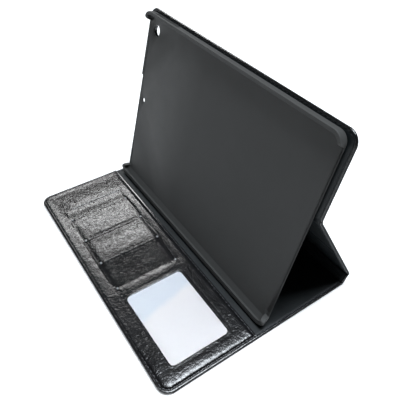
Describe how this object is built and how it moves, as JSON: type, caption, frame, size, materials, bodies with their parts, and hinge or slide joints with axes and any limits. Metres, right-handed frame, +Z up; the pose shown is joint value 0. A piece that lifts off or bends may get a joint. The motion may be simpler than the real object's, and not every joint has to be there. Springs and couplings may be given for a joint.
{
  "type": "tablet case",
  "caption": "Black leather folio case with a moulded tray, card slots and a clear window, folded out as an A-shaped stand.",
  "frame": {"origin": "middle of the front cover's outer face, on the surface that the case stands on", "axes": "+X along the hinges, towards the end with the window; +Y from the front cover's free edge to the spine; +Z up"},
  "size_m": [0.2526, 0.1901, 0.1741],
  "materials": {
    "black_leather": "glossy, crinkled grain",
    "smooth_lining": "smooth satin",
    "greyboard": "raw",
    "pocket_fabric": "matt woven",
    "clear_film": "clear, glossy",
    "white_card": "smooth",
    "soft_foam": "soft foam",
    "thread": "twisted thread",
    "adhesive": "double-sided adhesive sheet",
    "tray_plastic": "matt moulded"
  },
  "bodies": {
    "front_cover": {"front_outer_skin": "black_leather", "front_board": "greyboard", "front_lining": "smooth_lining", "front_hinge_strip": "black_leather", "pocket_panel": "black_leather", "pocket_edge_stitching": "thread", "card_pocket_backing": "pocket_fabric", "card_slot_leaf_1": "black_leather", "card_slot_leaf_2": "black_leather", "card_slot_leaf_3": "black_leather", "window_film": "clear_film", "window_insert": "white_card", "pocket_foam": "soft_foam", "slot_tacks": "thread", "pocket_stitching": "thread"},
    "spine": {"spine_outer_skin": "black_leather", "spine_board": "greyboard", "spine_lining": "smooth_lining", "back_hinge_strip": "black_leather"},
    "lower_flap": {"lower_outer_skin": "black_leather", "lower_board": "greyboard", "lower_lining": "smooth_lining", "lower_stitching": "thread", "stand_fold_strip": "black_leather"},
    "tray_and_upper_flap": {"upper_outer_skin": "black_leather", "upper_board": "greyboard", "upper_lining": "smooth_lining", "upper_stitching": "thread", "tray_adhesive_pad": "adhesive", "tray_shell": "tray_plastic"}
  },
  "joints": [
    {"name": "cover_hinge", "type": "hinge", "parent": "front_cover", "child": "spine", "pos_m": [0, 0.092, 0], "axis": [1, 0, 0], "range_deg": [-62, 0], "deforming": ["front_hinge_strip"]},
    {"name": "back_hinge", "type": "hinge", "parent": "spine", "child": "lower_flap", "pos_m": [0, 0.0981, 0.01148], "axis": [1, 0, 0], "range_deg": [-59.19, 0], "deforming": ["back_hinge_strip"]},
    {"name": "stand_fold", "type": "hinge", "parent": "lower_flap", "child": "tray_and_upper_flap", "pos_m": [0, 0.03987, 0.10767], "axis": [1, 0, 0], "range_deg": [0, 45.99], "deforming": ["stand_fold_strip"]}
  ],
  "couplings": [
    {"joint": "stand_fold", "follows": "cover_hinge", "ratio": -0.7417}
  ]
}
